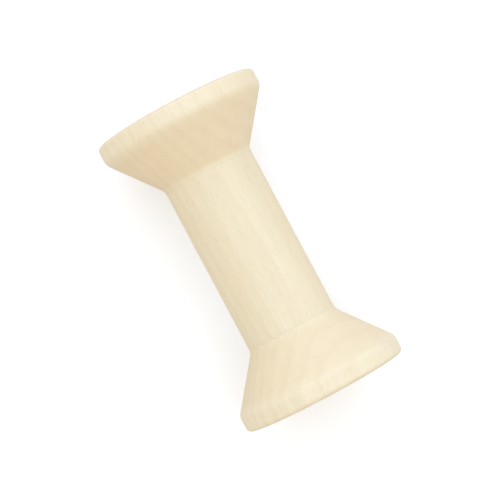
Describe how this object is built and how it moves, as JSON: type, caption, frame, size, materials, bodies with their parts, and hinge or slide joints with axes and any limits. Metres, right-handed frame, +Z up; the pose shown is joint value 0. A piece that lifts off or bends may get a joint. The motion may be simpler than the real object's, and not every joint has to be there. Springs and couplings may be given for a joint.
{
  "type": "wooden bobbin",
  "caption": "Turned pale wooden bobbin: a straight barrel with a flared conical head glued on each end and a spindle bore right through, for winding thread or yarn.",
  "frame": {"origin": "middle of the spindle bore, on its axis, halfway between the end faces", "axes": "+X along the bore's axis from the left head to the right head, +Z up, with the bobbin lying on its two rims"},
  "size_m": [0.048, 0.0262, 0.0262],
  "materials": {
    "barrel_wood": "bare pale hardwood, turned and sanded smooth, grain along the axis, matt",
    "head_wood": "bare pale hardwood, turned and sanded smooth, end grain on the end face, matt"
  },
  "bodies": {
    "root": {"barrel": "barrel_wood", "left_head": "head_wood", "right_head": "head_wood"}
  },
  "joints": []
}
